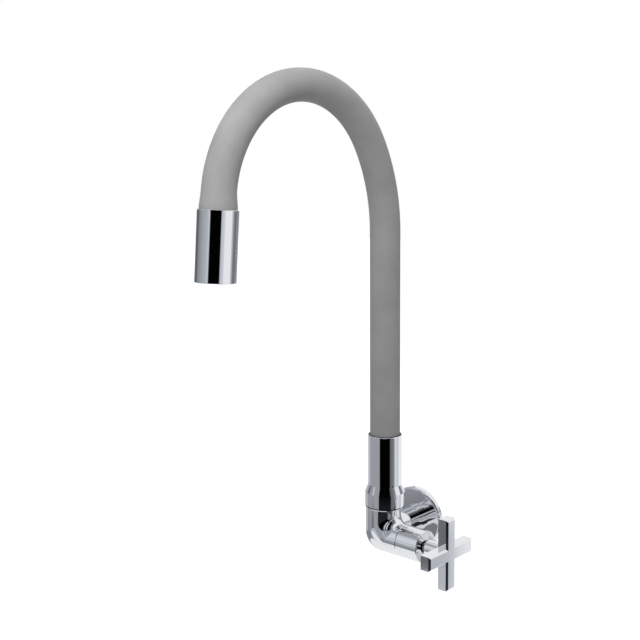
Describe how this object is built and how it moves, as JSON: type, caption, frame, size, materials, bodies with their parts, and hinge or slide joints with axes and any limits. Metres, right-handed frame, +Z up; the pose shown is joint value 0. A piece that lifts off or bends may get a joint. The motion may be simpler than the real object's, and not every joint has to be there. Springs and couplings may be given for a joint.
{
  "type": "kitchen faucet",
  "caption": "Wall-mounted kitchen faucet with a cross handle on the side of its corner body, a turning collar and a tall, bendable silicone gooseneck spout that ends in a cylindrical nozzle.",
  "frame": {"origin": "on the inlet's axis at the wall plane, where the male thread meets its shoulder", "axes": "+Y along the inlet into the wall, +X to the handle's side, +Z up"},
  "size_m": [0.1066, 0.2948, 0.4622],
  "materials": {
    "chrome": "polished plating",
    "brass": "turned",
    "steel": "drawn",
    "silicone": "matt grey silicone",
    "hose": "smooth",
    "seal": "smooth",
    "polymer": "moulded",
    "disc": "lapped"
  },
  "bodies": {
    "base": {"wall_flange": "chrome", "wall_gasket": "seal", "flange_grip_ring": "seal", "inlet_nipple": "brass", "nipple_rings": "seal", "arm_screw": "steel", "corner_body": "chrome", "swivel_spigot": "brass", "swivel_rings": "seal", "thrust_ring": "polymer", "valve_housing": "chrome", "housing_ring": "seal", "seat_seal": "seal", "fixed_disc": "disc", "cartridge_body": "chrome"},
    "handle": {"turning_disc": "disc", "spindle": "brass", "spindle_rings": "seal", "spindle_clip": "steel", "handle_hub": "chrome", "hub_screw": "steel", "cross_handle": "chrome"},
    "spout": {"spout_socket": "chrome", "swivel_screw": "steel", "lower_fitting": "brass", "lower_ferrule": "steel", "silicone_sleeve": "silicone", "gooseneck_core": "steel", "inner_hose": "hose"},
    "nozzle": {"nozzle_connector": "brass", "upper_ferrule": "steel", "connector_washer": "seal", "nozzle_shell": "chrome", "aerator_washer": "seal", "aerator_housing": "chrome", "aerator_insert": "polymer", "aerator_screen": "steel"}
  },
  "joints": [
    {"name": "handle_turn", "type": "hinge", "parent": "base", "child": "handle", "pos_m": [0, -0.0515, -0.0046], "axis": [1, 0, 0], "range_deg": [0, 90]},
    {"name": "spout_swivel", "type": "hinge", "parent": "base", "child": "spout", "pos_m": [0, -0.0515, 0], "axis": [0, 0, 1], "range_deg": [-95, 95]},
    {"name": "neck_flex", "type": "hinge", "parent": "spout", "child": "nozzle", "pos_m": [0, -0.15818, 0.4109], "axis": [1, 0, 0], "range_deg": [-30, 10], "deforming": ["silicone_sleeve", "gooseneck_core", "inner_hose"]}
  ]
}
